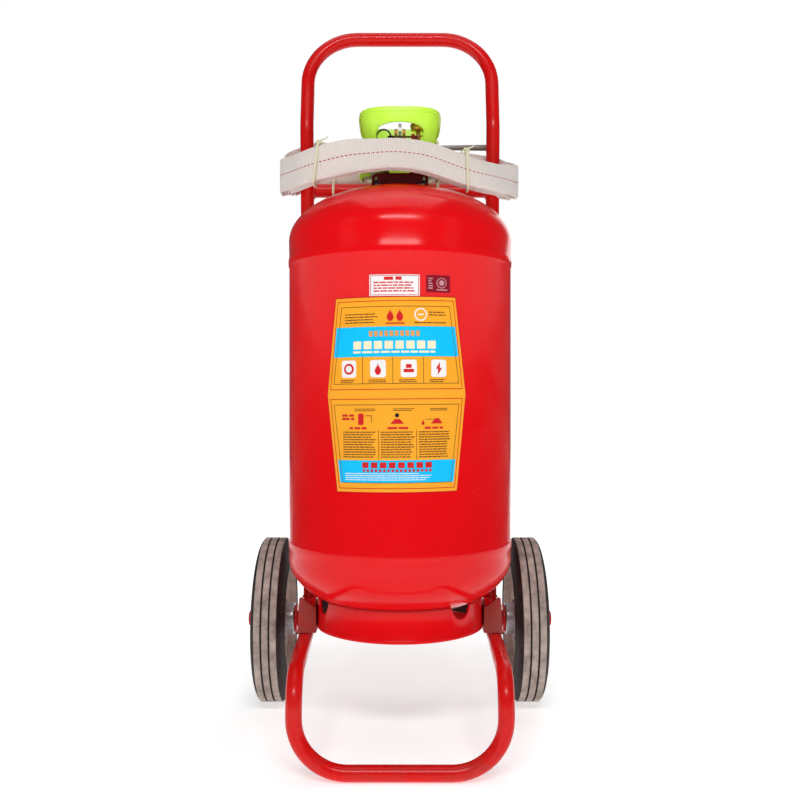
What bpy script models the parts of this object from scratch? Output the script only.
"""A wheeled dry-powder fire extinguisher: pressure vessel, valve, hose and two-wheeled trolley.

The trolley stands on two wheels at the back (+Y) and a ground bar at the front (-Y). Everything is
laid out from the vessel's own axis, and the whole assembly hangs on one empty that moves the middle
of its bounding box, at ground level, to the origin. Units are metres and +Z is up.
"""
import math

import bmesh
import bpy
from mathutils import Matrix, Vector

# ---- driving dimensions -------------------------------------------------------------------------
VESSEL_Y = -0.01125             # vessel axis, behind which the wheels reach further than the front bar
GAP = 0.0004                    # clearance left between pieces that touch

VESSEL_R = 0.130
WALL = 0.003
HEAD_DEPTH = 0.065              # depth of an elliptical dished end
LOWER_TANGENT_Z = 0.1986
LOWER_SEAM_Z = 0.2153
UPPER_SEAM_Z = 0.541
UPPER_TANGENT_Z = 0.566
VESSEL_STEPS = 32

FOOT_R = 0.0967
FOOT_Z = (0.118, 0.1532)
FOOT_WALL = 0.0025
VENT_R = 0.014
VENT_ANGLES = (-65, 45, 170)   # degrees from the front, seen from above

BOSS_R = 0.024
BOSS_Z = (0.6265, 0.650)
THREAD_R = 0.0145
BORE_R = 0.008
FLANGE_R = 0.0262
FLANGE_Z = (0.6526, 0.657)
VALVE_R = 0.0165
VALVE_TOP_Z = 0.6672
STEM_R = 0.0022
STEM_TOP_Z = 0.6706
OUTLET_Z = 0.6624

PIVOT_Z = 0.678                 # lever pivot, straight above the stem
PIN_Y = -0.010
PIN_Z = 0.6895
EAR_X = 0.0047
EAR_T = 0.0036
LEVER_T = 0.004
LEVER_TURN = 28                 # degrees that the lever swings to the front
PIN_R = 0.0011
EYE_R = 0.0028
RING_R = 0.0083
RING_WIRE = 0.0010

GAUGE_X = 0.0215
GAUGE_R = 0.0095
GAUGE_Z = (0.699, 0.7065)

GUARD_R = 0.0477
GUARD_WALL = 0.0025
GUARD_TOP_Z = 0.714
GUARD_FLOOR_Z = (0.6455, 0.648)
GUARD_FLANGE_R = 0.049
GUARD_BAND_Z = (0.690, 0.699)   # from here up the plan turns from round to squarish

TUBE_R = 0.0085
TUBE_SIDES = 8
UPRIGHT_Y = 0.080
UPRIGHT_TOP = (0.1175, 0.720)   # half spacing and height of the upright's upper end
UPRIGHT_FOOT = (0.1132, 0.1345)
HANDLE_Z = 0.8485
HANDLE_RAKE = 0.030
HANDLE_BEND = 0.063
CROSS_TUBE_Z = 0.646
LEG_Z = 0.104
LEG_FRONT_Y = -0.170
LEG_FRONT_X = 0.1065
LEG_BEND = 0.036
LEG_FOOT_Z = 0.0655
GROUND_BEND = 0.054
GROUND_Z = TUBE_R * math.cos(math.pi / TUBE_SIDES)   # a facet of the bar lies on the ground

TYRE_R = 0.1025
AXLE_Y = 0.0985
AXLE_Z = TYRE_R
AXLE_R = 0.0064
SLEEVE_R = 0.010
SLEEVE_END = 0.1305
FLANGE_DISC_END = 0.1338
CAP_X = (0.1835, 0.193)
CAP_R = 0.0095
TREAD_X = (0.146, 0.173)
TYRE_X = (0.139, 0.180)
RIM_R = 0.070
HUB_R = 0.020
HUB_X = (0.1345, 0.1825)
BUSH_R = 0.0100

HOSE_WIDTH = 0.040
HOSE_STACK = 0.020              # five flat turns, one on the other
HOSE_Y = (-0.067, 0.100)        # middle of the stack at the front and at the back
HOSE_FRONT_Z = 0.638
HOSE_SIDE_RISE = 0.022          # rise of the winding along its two sides
HOSE_BACK_RISE = 0.021          # further rise of the back strand between the uprights
HOSE_ROLL = -0.050              # slope of the front strand, down to the right
HOSE_ARCH = 0.015               # hump of the front strand over the vessel's dome
HOSE_ARCH_X = -0.012
HOSE_ARCH_HALF = 0.100
HOSE_ROUTE = (                  # (x, y, bend radius) of the winding's corners, middle of the stack
    (-0.1375, HOSE_Y[1], 0.020),
    (-0.1375, 0.0550, 0.060),
    (-0.1310, -0.0050, 0.050),
    (-0.1000, -0.0500, 0.050),
    (0.0000, HOSE_Y[0], 0.300),
    (0.0960, -0.0500, 0.050),
    (0.1240, -0.0050, 0.050),
    (0.1370, 0.0550, 0.060),
    (0.1370, HOSE_Y[1], 0.020),
)
GUN_Y = 0.1020
GUN_Z = 0.7105
GUN_X = (-0.030, 0.042)
GUN_R = 0.0085
GUN_LEVER_X = 0.000
TAIL_START = (-0.104, 0.7010)   # where the hose leaves the top of the winding for the gun
TAIL_KNEE_X = -0.060            # from here it runs level into the gun
TAIL_R = 0.0080
KNUCKLE_R = 0.0036              # rounded end of the gun's lever, round its hinge
NOZZLE_END_X = 0.120
NOZZLE_Z = 0.7063

TIE_R = 0.0011
FRONT_TIES = (("front_left_tie", -0.094), ("front_right_tie", 0.075))
REAR_TIES = (("rear_left_tie", -0.0835, 0.7150), ("rear_right_tie", 0.0475, 0.7115))

LABEL_LIFT = 0.0006
LABEL_T = 0.0004
LABEL_MID_Z = 0.387
LABEL_HALF_HEIGHT = 0.102
LABEL_HALF_WIDTHS = (0.0665, 0.0785, 0.0665)   # at its lower edge, middle and upper edge
LABEL_LEAN = 0.5

# ---- scene and materials ------------------------------------------------------------------------
for old in list(bpy.data.objects):
    bpy.data.objects.remove(old)

parts = bpy.data.collections.new("wheeled_fire_extinguisher")
guides = bpy.data.collections.new("cutters_and_guides")
bpy.context.scene.collection.children.link(parts)
bpy.context.scene.collection.children.link(guides)


def make_material(name, colour, roughness, metallic=0.0):
    mat = bpy.data.materials.new(name)
    mat.use_nodes = True
    shader = mat.node_tree.nodes["Principled BSDF"]
    shader.inputs["Base Color"].default_value = (*colour, 1.0)
    shader.inputs["Roughness"].default_value = roughness
    shader.inputs["Metallic"].default_value = metallic
    return mat


VESSEL_RED = make_material("vessel_red", (0.80, 0.010, 0.012), 0.30)
FRAME_RED = make_material("frame_red", (0.68, 0.012, 0.010), 0.35)
DUSTY_RED = make_material("dusty_red", (0.35, 0.035, 0.030), 0.65)
MAROON = make_material("maroon_paint", (0.055, 0.002, 0.003), 0.45)
BRASS = make_material("brass", (0.52, 0.30, 0.10), 0.35, 1.0)
STEEL = make_material("bright_steel", (0.50, 0.50, 0.50), 0.30, 1.0)
DARK_STEEL = make_material("dark_steel", (0.04, 0.04, 0.045), 0.35, 0.8)
GREY_STEEL = make_material("grey_steel", (0.24, 0.22, 0.19), 0.50, 0.6)
RUBBER = make_material("tyre_rubber", (0.09, 0.075, 0.065), 0.85)
SEAL_RUBBER = make_material("seal_rubber", (0.015, 0.015, 0.015), 0.70)
GUARD_PLASTIC = make_material("guard_plastic", (0.58, 1.00, 0.06), 0.40)
SEAL_PLASTIC = make_material("seal_plastic", (0.70, 0.010, 0.010), 0.40)
HOSE_FABRIC = make_material("hose_fabric", (0.70, 0.62, 0.56), 0.90)
TIE_STRING = make_material("tie_string", (0.83, 0.80, 0.58), 0.85)
LABEL_FILM = make_material("label_film", (1.00, 0.45, 0.035), 0.40)
PAPER_FILM = make_material("paper_film", (0.90, 0.88, 0.88), 0.50)
MAROON_FILM = make_material("maroon_film", (0.25, 0.004, 0.012), 0.40)
DIAL_PAPER = make_material("dial_paper", (0.85, 0.85, 0.80), 0.60)
LENS_CLEAR = make_material("lens_clear", (0.90, 0.92, 0.92), 0.10)


# ---- shared tools -------------------------------------------------------------------------------
def empty(name, at, parent=None):
    """An empty that stands on a joint's axis, or carries the whole assembly."""
    holder = bpy.data.objects.new(name, None)
    holder.location = at
    holder.parent = parent
    parts.objects.link(holder)
    return holder


trolley = empty("trolley", (0, VESSEL_Y, 0))
holders = {}


def add_holder(name, at):
    holders[name] = empty(name, at, trolley)


add_holder("left_wheel_axis", (0, AXLE_Y, AXLE_Z))
add_holder("right_wheel_axis", (0, AXLE_Y, AXLE_Z))
add_holder("lever_axis", (0, 0, PIVOT_Z))
add_holder("pin_axis", (0, PIN_Y, PIN_Z))
add_holder("ring_axis", (-EAR_X - EAR_T / 2 - GAP - PIN_R - EYE_R, PIN_Y, PIN_Z))
add_holder("needle_axis", (GAUGE_X, 0, GAUGE_Z[1]))
add_holder("gun_lever_axis", (GUN_LEVER_X, GUN_Y, GUN_Z + GUN_R + KNUCKLE_R + GAP))
EYE_X = holders["ring_axis"].location.x


def place(name, data, mat, at=(0, 0, 0), turn=(0, 0, 0), holder=None):
    """Put a mesh or curve into the assembly, at a place given from the vessel's axis."""
    obj = bpy.data.objects.new(name, data)
    data.materials.append(mat)
    owner = holders[holder] if holder else trolley
    base = owner.location if holder else Vector((0, 0, 0))
    obj.parent = owner
    obj.location = Vector(at) - base
    obj.rotation_euler = turn
    parts.objects.link(obj)
    return obj


AXES = {"X": (0, math.pi / 2, 0), "Y": (-math.pi / 2, 0, 0), "Z": (0, 0, 0)}


def turned(name, profile, mat, steps=24, at=(0, 0, 0), axis="Z", ring=True, holder=None):
    """Turn a profile of (radius, height) about an axis; a ring's profile closes on itself."""
    mesh = bpy.data.meshes.new(name)
    edges = [(i, i + 1) for i in range(len(profile) - 1)]
    if ring:
        edges.append((len(profile) - 1, 0))
    mesh.from_pydata([(radius, 0, height) for radius, height in profile], edges, [])
    obj = place(name, mesh, mat, at, AXES[axis], holder)
    screw = obj.modifiers.new("turn", "SCREW")
    screw.steps = steps
    screw.render_steps = steps
    screw.use_merge_vertices = True
    screw.merge_threshold = 0.00001
    screw.use_smooth_shade = True
    return obj


def ring_profile(outer, inner, low, high):
    return [(outer, high), (outer, low), (inner, low), (inner, high)]


def bent_route(corners, closed=False, steps=5):
    """Points along straight runs whose corners (point, radius) are rounded by arcs."""
    route = []
    count = len(corners)
    for i, (corner, radius) in enumerate(corners):
        corner = Vector(corner)
        if radius == 0 or (not closed and i in (0, count - 1)):
            route.append(corner)
            continue
        back = (Vector(corners[i - 1][0]) - corner).normalized()
        ahead = (Vector(corners[(i + 1) % count][0]) - corner).normalized()
        half = back.angle(ahead) / 2
        middle = corner + (back + ahead).normalized() * radius / math.sin(half)
        start = corner + back * radius / math.tan(half)
        axis = (start - middle).cross(corner - middle)
        sweep = math.pi - 2 * half
        route += [middle + Matrix.Rotation(sweep * k / steps, 3, axis) @ (start - middle) for k in range(steps + 1)]
    return route


def tube(name, route, radius, mat, sides=8, closed=False, tilt=0.0, holder=None):
    """A round tube or wire along a route of points."""
    curve = bpy.data.curves.new(name, "CURVE")
    curve.dimensions = "3D"
    curve.bevel_depth = radius
    curve.bevel_resolution = (sides - 4) // 2
    curve.use_fill_caps = True
    base = holders[holder].location if holder else Vector((0, 0, 0))
    spline = curve.splines.new("POLY")
    spline.points.add(len(route) - 1)
    spline.use_cyclic_u = closed
    for point, place_at in zip(spline.points, route):
        point.co = (*(Vector(place_at) - base), 1)
        point.tilt = tilt
    obj = place(name, curve, mat, base, (0, 0, 0), holder)
    return obj


def plate(name, outlines, thickness, mat, at=(0, 0, 0), turn=(0, 0, 0), holder=None):
    """A flat plate from its outline and the outlines of its holes, along local XY."""
    curve = bpy.data.curves.new(name, "CURVE")
    curve.dimensions = "2D"
    curve.fill_mode = "BOTH"
    curve.extrude = thickness / 2
    for outline in outlines:
        spline = curve.splines.new("POLY")
        spline.points.add(len(outline) - 1)
        spline.use_cyclic_u = True
        for point, (x, y) in zip(spline.points, outline):
            point.co = (x, y, 0, 1)
    return place(name, curve, mat, at, turn, holder)


SIDE_ON = (math.pi / 2, 0, math.pi / 2)     # a plate's XY becomes the assembly's YZ
FACE_ON = (math.pi / 2, 0, 0)               # a plate's XY becomes the assembly's XZ


def box(name, low, high, mat, bevel=0.0):
    """A block between two corners, its edges rounded where bevel is given."""
    size = Vector(high) - Vector(low)
    mesh = bpy.data.meshes.new(name)
    shape = bmesh.new()
    bmesh.ops.create_cube(shape, size=1.0, matrix=Matrix.Diagonal((*size, 1)))
    shape.to_mesh(mesh)
    shape.free()
    obj = place(name, mesh, mat, (Vector(low) + Vector(high)) / 2)
    if bevel:
        edge = obj.modifiers.new("edge", "BEVEL")
        edge.width = bevel
        edge.segments = 2
    return obj


def circle(radius, centre=(0, 0), count=12):
    turns = [2 * math.pi * k / count for k in range(count)]
    return [(centre[0] + radius * math.cos(a), centre[1] + radius * math.sin(a)) for a in turns]


def polar(points):
    """Outline points from (degrees, radius) pairs."""
    return [(r * math.cos(math.radians(a)), r * math.sin(math.radians(a))) for a, r in points]


def make_mesh(obj):
    """Turn a curve object into a closed mesh object of the same name and place."""
    bpy.context.view_layer.update()
    graph = bpy.context.evaluated_depsgraph_get()
    mesh = bpy.data.meshes.new_from_object(obj.evaluated_get(graph))
    shape = bmesh.new()
    shape.from_mesh(mesh)
    bmesh.ops.remove_doubles(shape, verts=shape.verts, dist=0.00001)
    shape.to_mesh(mesh)
    shape.free()
    name = obj.name
    matrix = obj.matrix_world.copy()
    bpy.data.objects.remove(obj)
    solid = bpy.data.objects.new(name, mesh)
    solid.matrix_world = matrix
    parts.objects.link(solid)
    return solid


def cut(target, cutter, operation="DIFFERENCE"):
    """Cut a target by a mesh cutter, or join the two, and put the cutter with the guides."""
    change = target.modifiers.new(cutter.name, "BOOLEAN")
    change.operation = operation
    change.solver = "EXACT"
    change.object = cutter
    as_guide(cutter)


def as_guide(obj):
    parts.objects.unlink(obj)
    guides.objects.link(obj)
    obj.hide_render = True
    obj.display_type = "WIRE"


# ---- pressure vessel ----------------------------------------------------------------------------
def head_arc(radius, depth, hole, count):
    """Quarter ellipse of a dished end, from the hole's edge at the crown to the tangent line."""
    first = math.asin(hole / radius)
    angles = [first + (math.pi / 2 - first) * k / count for k in range(count + 1)]
    return [(radius * math.sin(a), depth * math.cos(a)) for a in angles]


def make_upper_head():
    hole = BOSS_R + GAP
    outer = [(r, UPPER_TANGENT_Z + z) for r, z in head_arc(VESSEL_R, HEAD_DEPTH, hole, 6)]
    inner = [(r, UPPER_TANGENT_Z + z) for r, z in head_arc(VESSEL_R - WALL, HEAD_DEPTH - WALL, hole, 4)]
    skirt = [(VESSEL_R, UPPER_SEAM_Z + GAP), (VESSEL_R - WALL, UPPER_SEAM_Z + GAP)]
    turned("upper_head", outer + skirt + inner[::-1], VESSEL_RED, VESSEL_STEPS)


def make_barrel():
    profile = ring_profile(VESSEL_R, VESSEL_R - WALL, LOWER_SEAM_Z, UPPER_SEAM_Z)
    turned("barrel", profile, VESSEL_RED, VESSEL_STEPS)


def make_lower_head():
    outer = [(r, LOWER_TANGENT_Z - z) for r, z in head_arc(VESSEL_R, HEAD_DEPTH, 0, 6)]
    inner = [(r, LOWER_TANGENT_Z - z) for r, z in head_arc(VESSEL_R - WALL, HEAD_DEPTH - WALL, 0, 4)]
    rim = [(VESSEL_R - WALL, LOWER_SEAM_Z - GAP), (VESSEL_R, LOWER_SEAM_Z - GAP)]
    turned("lower_head", inner + rim + outer[::-1], VESSEL_RED, VESSEL_STEPS, ring=False)


def make_foot_ring():
    """The ring under the vessel, with half-round vents in its upper edge."""
    ring = turned("foot_ring", ring_profile(FOOT_R, FOOT_R - FOOT_WALL, *FOOT_Z), VESSEL_RED, VESSEL_STEPS)
    for number, degrees in enumerate(VENT_ANGLES):
        angle = math.radians(degrees - 90)
        mesh = bpy.data.meshes.new("vent")
        shape = bmesh.new()
        bmesh.ops.create_cone(shape, cap_ends=True, segments=12, radius1=VENT_R, radius2=VENT_R, depth=0.03)
        shape.to_mesh(mesh)
        shape.free()
        at = (FOOT_R * math.cos(angle), FOOT_R * math.sin(angle), FOOT_Z[1])
        vent = place(f"vent_{number}", mesh, VESSEL_RED, at, (0, math.pi / 2, angle))
        cut(ring, vent)


# ---- neck and valve -----------------------------------------------------------------------------
def make_neck():
    turned("neck_boss", ring_profile(BOSS_R, THREAD_R + GAP, *BOSS_Z), MAROON)
    seal_z = (BOSS_Z[1] + FLANGE_Z[0]) / 2
    seal = [(0.0195 + x, seal_z + z) for x, z in circle(0.0010, count=6)]
    turned("neck_seal", seal[::-1], SEAL_RUBBER, 20)


def make_neck_bracket():
    """A strap folded over the neck, its legs on the dome, and the stay back to the cross tube."""
    half, leg, low, high, corner = 0.0325, 0.003, 0.6305, 0.642, 0.005
    arc = [(half - corner + corner * math.cos(a), high - corner + corner * math.sin(a))
           for a in (math.pi / 8 * k for k in range(5))]
    right = [(half, low)] + arc
    left = [(-x, z) for x, z in reversed(right)]
    inside = [(-half + leg, low), (-half + leg, high - leg), (half - leg, high - leg), (half - leg, low)]
    strap = make_mesh(plate("neck_bracket", [right + left + inside], 0.060, MAROON, turn=FACE_ON))
    bore = turned("neck_bore", [(0, 0.66), (BOSS_R + GAP, 0.66), (BOSS_R + GAP, 0.62), (0, 0.62)],
                  MAROON, ring=False)
    cut(strap, bore)
    box("neck_stay", (-0.012, 0.0304, 0.6385), (0.012, 0.0708, 0.6415), MAROON)


def ear_outlines():
    outline = [(-0.0150, 0.6635), (0.0085, 0.6635), (0.0085, 0.6800), (0.0060, 0.6880),
               (-0.0040, 0.6975), (-0.0095, 0.6990), (-0.0145, 0.6965), (-0.0160, 0.6890)]
    pivot = circle(0.0018, (0, PIVOT_Z))
    pin = circle(PIN_R + GAP, (PIN_Y, PIN_Z))
    return [outline, pivot, pin]


def make_valve():
    outer = [(VALVE_R, VALVE_TOP_Z), (VALVE_R, FLANGE_Z[1]), (FLANGE_R, FLANGE_Z[1]), (FLANGE_R, FLANGE_Z[0]),
             (THREAD_R, FLANGE_Z[0]), (THREAD_R, 0.622)]
    inner = [(BORE_R, 0.622), (BORE_R, 0.652), (STEM_R + GAP, 0.652), (STEM_R + GAP, VALVE_TOP_Z)]
    body = turned("valve_body", outer + inner, BRASS)
    for side, x in (("left", -EAR_X), ("right", EAR_X)):
        ear = make_mesh(plate(f"{side}_ear", ear_outlines(), EAR_T, BRASS, (x, 0, 0), SIDE_ON))
        cut(body, ear, "UNION")
    turned("siphon_tube", [(0.013, 0.6212), (0.013, 0.6180), (0.0095, 0.6180), (0.0095, 0.150),
                           (0.0075, 0.150), (0.0075, 0.6180), (0.0058, 0.6180), (0.0058, 0.6212)], GREY_STEEL, 16)
    stem = [(0, STEM_TOP_Z), (STEM_R, STEM_TOP_Z), (STEM_R, 0.6515), (0.0066, 0.6515), (0.0066, 0.6485),
            (0.0042, 0.6485), (0.0042, 0.642), (0, 0.642)]
    turned("valve_stem", stem, DARK_STEEL, 16, ring=False)


def make_valve_spring():
    """The closing spring, coiled from the siphon tube's flange up to the stem's poppet."""
    turns, each, low, high = 5, 8, 0.6222, 0.6474
    wire, radius = 0.0006, 0.0060
    count = turns * each
    route = [(radius * math.cos(2 * math.pi * k / each), radius * math.sin(2 * math.pi * k / each),
              low + (high - low) * k / count) for k in range(count + 1)]
    tube("valve_spring", route, wire, STEEL, sides=4)


def make_lever():
    """The opening lever: a cam below the pivot, an arc slot round the safety pin, a finger piece on top."""
    reach = math.hypot(PIN_Y, PIN_Z - PIVOT_Z)
    rest = math.degrees(math.atan2(PIN_Z - PIVOT_Z, PIN_Y))
    outline = polar([(205, 0.0064), (225, 0.0098), (245, 0.0062), (270, 0.0062), (300, 0.0062), (330, 0.0062),
                     (0, 0.0062), (30, 0.0062), (60, 0.0070), (76, 0.0120), (79, 0.0290), (84, 0.0305),
                     (89, 0.0290), (92, 0.0198), (110, 0.0196), (125, 0.0196), (140, 0.0194), (147, 0.0155),
                     (146, 0.0110), (165, 0.0064)])
    half, last = 0.0017, rest - LEVER_TURN
    slot = polar([(rest, reach + half), (rest + 6, reach), (rest, reach - half), ((rest + last) / 2, reach - half),
                  (last, reach - half), (last - 6, reach), (last, reach + half), ((rest + last) / 2, reach + half)])
    plate("operating_lever", [outline, circle(0.0018), slot], LEVER_T, STEEL, (0, 0, PIVOT_Z), SIDE_ON, "lever_axis")
    half = EAR_X + EAR_T / 2 + 0.0012
    turned("lever_pivot_pin", [(0, half), (0.0014, half), (0.0014, -half), (0, -half)], DARK_STEEL, 12,
           (0, 0, PIVOT_Z), "X", ring=False)


def make_safety_pin():
    """A wire pin with a bent eye, and the split ring that hangs in the eye."""
    eye = [(EYE_X + EYE_R * math.cos(a), PIN_Y + EYE_R * math.sin(a), PIN_Z)
           for a in (math.radians(18 + 40 * k) for k in range(8))]
    route = [(0.0205, PIN_Y, PIN_Z), (EYE_X + EYE_R + 0.0006, PIN_Y, PIN_Z)] + eye
    tube("safety_pin", route, PIN_R, DARK_STEEL, sides=8, holder="pin_axis")
    middle = EYE_X - RING_R
    ring = [(middle + x, PIN_Y, PIN_Z + z) for x, z in circle(RING_R, count=16)]
    tube("pull_ring", ring, RING_WIRE, DARK_STEEL, sides=6, closed=True, holder="ring_axis")


def make_tamper_seal():
    """A thin strap from its tail, round the pin's end and the gauge's stem, and back under the pin."""
    y, z = PIN_Y, PIN_Z
    route = [(0.0150, y - 0.0030, z - 0.0110), (0.0152, y - 0.0030, z), (0.0158, y - 0.0012, z + 0.0030),
             (0.0170, y + 0.0080, z + 0.0042), (0.0180, 0.0036, z + 0.0044), (0.0225, 0.0048, z + 0.0044),
             (0.0262, 0.0010, z + 0.0042), (0.0240, y + 0.0040, z + 0.0010), (0.0195, y, z - 0.0030),
             (0.0180, y - 0.0030, z - 0.0020)]
    tube("tamper_seal", route, 0.0008, SEAL_PLASTIC, sides=6)


def make_gauge():
    """The pressure gauge lies face up on its own stem, so that it is read from above."""
    stem = bent_route([((VALVE_R + 0.0012, 0, OUTLET_Z), 0), ((GAUGE_X, 0, OUTLET_Z), 0.0030),
                       ((GAUGE_X, 0, GAUGE_Z[0] - GAP), 0)], steps=3)
    tube("gauge_stem", stem, 0.0024, BRASS, sides=8)
    low, high = GAUGE_Z
    at = (GAUGE_X, 0, 0)
    case = [(GAUGE_R, high), (GAUGE_R, low), (0, low), (0, low + 0.0018), (0.0083, low + 0.0018), (0.0083, high)]
    turned("gauge_case", [case[5]] + case[:1] + case[1:5], BRASS, 20, at)
    dial = [(0, low + 0.0030), (0.0079, low + 0.0030), (0.0079, low + 0.0022), (0, low + 0.0022)]
    turned("gauge_dial", dial, DIAL_PAPER, 20, at, ring=False)
    lens = [(0, high - 0.0003), (0.0079, high - 0.0003), (0.0079, high - 0.0013), (0, high - 0.0013)]
    turned("gauge_lens", lens, LENS_CLEAR, 20, at, ring=False)
    needle = [(0.0008, -0.0008), (0.0062, 0.0), (0.0008, 0.0008), (-0.0022, 0.0006), (-0.0022, -0.0006)]
    plate("gauge_needle", [needle], 0.0005, DARK_STEEL, (GAUGE_X, 0, low + 0.0040), (0, 0, math.pi / 2), "needle_axis")


def arch_outline(half, low, spring, top):
    """Outline of an opening with a flat sill and an elliptical top."""
    angles = [math.pi * k / 8 for k in range(9)]
    return [(-half, low), (half, low)] + [(half * math.cos(a), spring + (top - spring) * math.sin(a)) for a in angles]


def make_guard():
    """The open-topped guard round the valve, with windows at the front, left, right and back."""
    floor_low, floor_high = GUARD_FLOOR_Z
    inner_r = GUARD_R - GUARD_WALL
    profile = [(GUARD_R, GUARD_TOP_Z), (GUARD_R, 0.700), (GUARD_R - 0.001, 0.656), (GUARD_FLANGE_R, 0.652),
               (GUARD_FLANGE_R, floor_low), (BOSS_R + GAP, floor_low), (BOSS_R + GAP, floor_high),
               (inner_r - 0.001, floor_high), (inner_r, 0.700), (inner_r, GUARD_TOP_Z)]
    guard = turned("valve_guard", profile, GUARD_PLASTIC, 32)
    windows = (("front_window", 0.0277, 0.690, 0.6966, (0, -GUARD_R, 0), 0),
               ("left_window", 0.0245, 0.690, 0.7045, (-GUARD_R, 0, 0), 90),
               ("right_window", 0.0245, 0.690, 0.7045, (GUARD_R, 0, 0), 90),
               ("back_window", 0.0140, 0.668, 0.6760, (0, GUARD_R, 0), 0))
    for name, half, spring, top, at, degrees in windows:
        turn = (math.pi / 2, 0, math.radians(degrees))
        window = make_mesh(plate(name, [arch_outline(half, 0.6535, spring, top)], 0.024, GUARD_PLASTIC, at, turn))
        cut(guard, window)
    square_off(guard)


def square_off(guard):
    """Gives the upper band a plan with fuller corners, above the round lower part."""
    for vert in make_mesh(guard).data.vertices:
        share = min(max((vert.co.z - GUARD_BAND_Z[0]) / (GUARD_BAND_Z[1] - GUARD_BAND_Z[0]), 0), 1)
        angle = math.atan2(vert.co.y, vert.co.x)
        fuller = (abs(math.cos(angle)) ** 3 + abs(math.sin(angle)) ** 3) ** (-1 / 3)
        scale = 1 + share * (fuller - 1)
        vert.co.x *= scale
        vert.co.y *= scale


# ---- trolley frame ------------------------------------------------------------------------------
def make_handle():
    """Two uprights, the bent handle across their tops and the cross tube behind the valve."""
    top_x, top_z = UPRIGHT_TOP
    foot_x, foot_z = UPRIGHT_FOOT
    for side, sign in (("left", -1), ("right", 1)):
        ends = [(sign * foot_x, UPRIGHT_Y, foot_z), (sign * top_x, UPRIGHT_Y, top_z - GAP)]
        tube(f"{side}_upright", ends, TUBE_R, FRAME_RED)
    back = UPRIGHT_Y + HANDLE_RAKE
    knee_z = top_z + 0.008
    corners = [((-top_x, UPRIGHT_Y, top_z), 0), ((-top_x, UPRIGHT_Y, knee_z), 0.050),
               ((-top_x, back, HANDLE_Z), HANDLE_BEND), ((top_x, back, HANDLE_Z), HANDLE_BEND),
               ((top_x, UPRIGHT_Y, knee_z), 0.050), ((top_x, UPRIGHT_Y, top_z), 0)]
    tube("handle_arch", bent_route(corners, steps=6), TUBE_R, FRAME_RED)
    half = top_x - 0.0005 - TUBE_R - GAP
    tube("rear_cross_tube", [(-half, UPRIGHT_Y, CROSS_TUBE_Z), (half, UPRIGHT_Y, CROSS_TUBE_Z)], TUBE_R, FRAME_RED)


def make_legs():
    """The tubes that run forward under the vessel and down to the ground bar."""
    foot_x, foot_z = UPRIGHT_FOOT
    for side, sign in (("left", -1), ("right", 1)):
        x, front_x = sign * foot_x, sign * LEG_FRONT_X
        corners = [((x, UPRIGHT_Y, foot_z - GAP), 0), ((x, UPRIGHT_Y, LEG_Z), 0.026),
                   ((front_x, LEG_FRONT_Y, LEG_Z), LEG_BEND), ((front_x, LEG_FRONT_Y, LEG_FOOT_Z), 0)]
        tube(f"{side}_leg_tube", bent_route(corners), TUBE_R, FRAME_RED)
    corners = [((-LEG_FRONT_X, LEG_FRONT_Y, LEG_FOOT_Z - GAP), 0), ((-LEG_FRONT_X, LEG_FRONT_Y, GROUND_Z), GROUND_BEND),
               ((LEG_FRONT_X, LEG_FRONT_Y, GROUND_Z), GROUND_BEND), ((LEG_FRONT_X, LEG_FRONT_Y, LEG_FOOT_Z - GAP), 0)]
    tube("ground_bar", bent_route(corners, steps=6), TUBE_R, FRAME_RED, tilt=math.pi / TUBE_SIDES)


def make_foot_brackets():
    """Angle brackets that carry the foot ring on the two leg tubes."""
    top = LEG_Z + TUBE_R + GAP
    inside, thick, outside = FOOT_R + GAP, 0.003, 0.1185
    outline = [(inside, top), (outside, top), (outside, top + thick), (inside + thick, top + thick),
               (inside + thick, 0.143), (inside, 0.143)]
    gusset = [(inside, top), (outside, top), (outside, top + thick), (0.1165, 0.1640), (0.1140, 0.1660),
              (0.1062, 0.1590), (0.0990, 0.1540), (inside, 0.1525)]
    for side, sign in (("left", -1), ("right", 1)):
        points = [(sign * x, z) for x, z in outline]
        bracket = make_mesh(plate(f"{side}_foot_bracket", [points], 0.046, DUSTY_RED, turn=FACE_ON))
        points = [(sign * x, z) for x, z in gusset]
        web = make_mesh(plate(f"{side}_gusset", [points], thick, DUSTY_RED, (0, -0.0215, 0), FACE_ON))
        cut(bracket, web, "UNION")


# ---- axle and wheels ----------------------------------------------------------------------------
def make_axle():
    centre = (0, AXLE_Y, AXLE_Z)
    bore = AXLE_R + GAP
    turned("axle_sleeve", ring_profile(SLEEVE_R, bore, -SLEEVE_END, SLEEVE_END), FRAME_RED, 16, centre, "X")
    end = CAP_X[1] - 0.003
    turned("axle_rod", [(0, end), (AXLE_R, end), (AXLE_R, -end), (0, -end)], STEEL, 16, centre, "X", ring=False)
    for side, turn in (("left", -1), ("right", 1)):
        low, high = sorted((turn * (SLEEVE_END + GAP), turn * FLANGE_DISC_END))
        turned(f"{side}_flange_disc", ring_profile(0.0175, bore, low, high), FRAME_RED, 20, centre, "X")
        make_end_cap(f"{side}_end_cap", turn, centre, bore)


def make_end_cap(name, turn, centre, bore):
    """A cup pushed on the axle's end, its flat face outward."""
    start, end = CAP_X
    floor, round_edge = end - 0.0025, 0.0013
    profile = [(0, end), (CAP_R - round_edge, end), (CAP_R, end - round_edge), (CAP_R, start), (bore, start),
               (bore, floor), (0, floor)]
    if turn < 0:
        profile = [(r, -x) for r, x in reversed(profile)]
    turned(name, profile, FRAME_RED, 16, centre, "X", ring=False)


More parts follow.
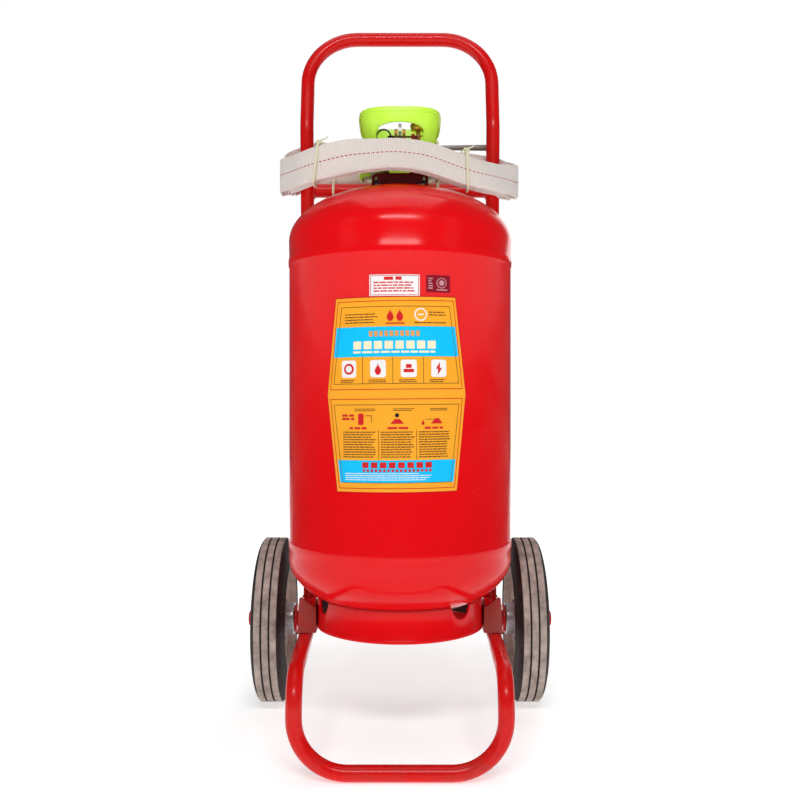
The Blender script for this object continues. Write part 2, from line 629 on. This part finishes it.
def make_wheel(side, turn):
    """A solid rubber tyre on a dished steel disc, with a hub and its bush."""
    holder = f"{side}_wheel_axis"
    centre = (0, AXLE_Y, AXLE_Z)
    outer = [(RIM_R, TYRE_X[1]), (0.096, 0.1765), (TYRE_R, TREAD_X[1]), (TYRE_R, TREAD_X[0]), (0.096, 0.1415),
             (RIM_R, TYRE_X[0])]
    tyre_bore = [(RIM_R - 0.0004, TYRE_X[0] + 0.001), (RIM_R - 0.0004, TYRE_X[1] - 0.001)]
    rim_out, rim_in, web = RIM_R - 0.0008, RIM_R - 0.0030, (0.1530, 0.1560)
    disc = [(rim_out, 0.1790), (rim_out, 0.1400), (rim_in, 0.1400), (rim_in, 0.1500), (0.055, web[0]),
            (HUB_R + GAP, web[0]), (HUB_R + GAP, web[1]), (0.055, web[1]), (rim_in, 0.1530), (rim_in, 0.1790)]
    hub = ring_profile(HUB_R, BUSH_R + GAP, *HUB_X)
    bush = ring_profile(BUSH_R, AXLE_R + GAP, HUB_X[0] + 0.001, HUB_X[1] - 0.001)
    pieces = (("tyre", outer + tyre_bore, RUBBER, 32), ("wheel_disc", disc, GREY_STEEL, 24),
              ("hub", hub, STEEL, 20), ("hub_bush", bush, BRASS, 16))
    for name, profile, mat, steps in pieces:
        if turn < 0:
            profile = [(r, -x) for r, x in reversed(profile)]
        turned(f"{side}_{name}", profile, mat, steps, centre, "X", holder=holder)


# ---- hose, gun and ties -------------------------------------------------------------------------
def hose_z(x, y):
    """Height of the middle of the winding, which rises behind the uprights and sags at the front right."""
    front_y, back_y = HOSE_Y
    back = min(max((y - front_y) / (back_y - front_y), 0), 1)
    away = min(max((abs(x - HOSE_ARCH_X) / HOSE_ARCH_HALF - 0.35) / 0.8, 0), 1)
    arch = HOSE_ARCH * (1 - back) ** 2 * (1 - away * away * (3 - 2 * away))
    rise = HOSE_SIDE_RISE * back ** 2 + HOSE_BACK_RISE * back ** 4 * (1 - (x / HOSE_ROUTE[0][0]) ** 2)
    return HOSE_FRONT_Z + rise + HOSE_ROLL * (1 - back) * x + arch


def hose_plan():
    """The middle of the winding seen from above."""
    return bent_route([((x, y, 0), radius) for x, y, radius in HOSE_ROUTE], closed=True, steps=4)


def make_hose_coil():
    """The flat hose wound round the uprights and the guard: the outer shape of its five turns."""
    route = [(p.x, p.y, hose_z(p.x, p.y)) for p in hose_plan()]
    half_stack, half_width = HOSE_STACK / 2, HOSE_WIDTH / 2
    outline = [(-half_stack, -half_width), (-half_stack, half_width), (half_stack, half_width),
               (half_stack, -half_width)]
    section = plate("hose_section", [outline], 0, HOSE_FABRIC)
    section.data.fill_mode = "NONE"
    as_guide(section)
    coil = tube("hose_coil", route, 0, HOSE_FABRIC, closed=True)
    coil.data.bevel_mode = "OBJECT"
    coil.data.bevel_object = section
    coil.data.twist_mode = "Z_UP"


def make_hose_ends():
    """The coupling at the valve, the lead up to the winding and the tail down from the gun."""
    coupling = [(0.0085, 0.0440), (0.0085, 0.0320), (0.0048, 0.0300), (0.0048, VALVE_R + 0.0008),
                (0.0030, VALVE_R + 0.0008), (0.0030, 0.0440)]
    turned("hose_coupling", coupling, BRASS, 16, (0, 0, OUTLET_Z), "Y")
    inner_face = HOSE_ROUTE[0][1] - HOSE_STACK / 2
    lead = bent_route([((0, 0.0446, OUTLET_Z), 0), ((0, 0.0580, OUTLET_Z), 0.012),
                       ((0, 0.0760, 0.6810), 0.012), ((0, inner_face - GAP, 0.6810), 0)], steps=3)
    tube("hose_lead", lead, 0.0080, HOSE_FABRIC)
    tail = bent_route([((TAIL_START[0], GUN_Y, TAIL_START[1]), 0), ((TAIL_KNEE_X, GUN_Y, GUN_Z), 0.150),
                       ((GUN_X[0] - GAP, GUN_Y, GUN_Z), 0)], steps=3)
    tube("hose_tail", tail, TAIL_R, HOSE_FABRIC)


def make_gun():
    """The hand gun that lies on the winding behind the valve, its nozzle to the right."""
    low, high = GUN_X
    at = (0, GUN_Y, GUN_Z)
    body = [(0, high), (0.0076, high), (GUN_R, high - 0.004), (GUN_R, low + 0.004), (0.0075, low), (0, low)]
    turned("gun_body", body, GREY_STEEL, 16, at, "X", ring=False)
    length = NOZZLE_END_X - high - GAP
    nozzle = [(0.0042, length), (0.0028, 0), (0.0014, 0), (0.0030, length)]
    turned("nozzle_barrel", nozzle, GREY_STEEL, 12, (high + GAP, GUN_Y, NOZZLE_Z), "X")
    knuckle = polar([(90 + 30 * k, KNUCKLE_R) for k in range(7)])
    outline = knuckle + [(0.010, -0.0030), (0.036, 0.0008), (0.036, 0.0038), (0.010, 0.0030)]
    hinge = (GUN_LEVER_X, GUN_Y, GUN_Z + GUN_R + KNUCKLE_R + GAP)
    plate("gun_lever", [outline], 0.007, SEAL_PLASTIC, hinge, FACE_ON, "gun_lever_axis")


def tie_loop(x, corners):
    return bent_route([((x, y, z), 0.003) for y, z in corners], closed=True, steps=2)


def make_ties():
    """String ties: two round the front strand, two that hold the back strand to the cross tube."""
    off = TIE_R + 0.0007
    for name, x in FRONT_TIES:
        y, half = front_strand(x)
        low_y, high_y = y - half - 0.0010 - off, y + half + 0.0010 + off
        low_z, high_z = hose_z(x, y) - HOSE_WIDTH / 2 - off - 0.001, hose_z(x, y) + HOSE_WIDTH / 2 + off + 0.001
        corners = [(low_y, low_z), (high_y, low_z), (high_y, high_z), (low_y, high_z)]
        tube(name, tie_loop(x, corners), TIE_R, TIE_STRING, sides=6, closed=True)
    back = HOSE_ROUTE[0][1] + HOSE_STACK / 2 + off
    for name, x, top in REAR_TIES:
        front = UPRIGHT_Y - TUBE_R - off
        corners = [(front, CROSS_TUBE_Z - TUBE_R - off), (back, CROSS_TUBE_Z - TUBE_R - off), (back, top), (front, top)]
        tube(name, tie_loop(x, corners), TIE_R, TIE_STRING, sides=6, closed=True)


def front_strand(x):
    """Where the middle of the front strand is at x, and half its depth from front to back there."""
    front = [p for p in hose_plan() if p.y < 0]
    for a, b in zip(front, front[1:]):
        if a.x <= x < b.x:
            share = (x - a.x) / (b.x - a.x)
            return a.y + (b.y - a.y) * share, HOSE_STACK / 2 * (b - a).length / (b.x - a.x)


# ---- labels -------------------------------------------------------------------------------------
def make_label(name, mat, rows, centre_angle, lean, columns):
    """A film round the barrel: rows of (height, half width), leaning by some degrees."""
    mesh = bpy.data.meshes.new(name)
    shape = bmesh.new()
    bmesh.ops.create_grid(shape, x_segments=columns, y_segments=len(rows) - 1, size=1.0)
    shape.verts.ensure_lookup_table()
    middle = (rows[0][0] + rows[-1][0]) / 2
    radius = VESSEL_R + LABEL_LIFT
    for vert in shape.verts:
        row = round((vert.co.y + 1) / 2 * (len(rows) - 1))
        height, half = rows[row]
        flat = Matrix.Rotation(math.radians(lean), 2) @ Vector((vert.co.x * half, height - middle))
        angle = centre_angle + flat.x / VESSEL_R
        vert.co = (radius * math.sin(angle), -radius * math.cos(angle), middle + flat.y)
    shape.to_mesh(mesh)
    shape.free()
    film = place(name, mesh, mat)
    thick = film.modifiers.new("thickness", "SOLIDIFY")
    thick.thickness = LABEL_T
    thick.offset = 1.0


def make_labels():
    low, middle, high = LABEL_HALF_WIDTHS
    count = 8
    rows = []
    for k in range(count + 1):
        share = 2 * k / count - 1
        edge = low if share < 0 else high
        rows.append((LABEL_MID_Z + share * LABEL_HALF_HEIGHT, middle + (edge - middle) * abs(share)))
    make_label("main_label", LABEL_FILM, rows, -0.035, LABEL_LEAN, 12)
    make_label("certificate_label", PAPER_FILM, [(0.4907, 0.0265), (0.5130, 0.0265)], -0.045, 0.0, 6)
    make_label("seal_sticker", MAROON_FILM, [(0.4948, 0.0133), (0.5126, 0.0133)], 0.315, 0.0, 4)


# ---- assembly -----------------------------------------------------------------------------------
make_upper_head()
make_barrel()
make_lower_head()
make_foot_ring()
make_neck()
make_neck_bracket()
make_valve()
make_valve_spring()
make_lever()
make_safety_pin()
make_tamper_seal()
make_gauge()
make_guard()
make_handle()
make_legs()
make_foot_brackets()
make_axle()
make_wheel("left", -1)
make_wheel("right", 1)
make_hose_coil()
make_hose_ends()
make_gun()
make_ties()
make_labels()
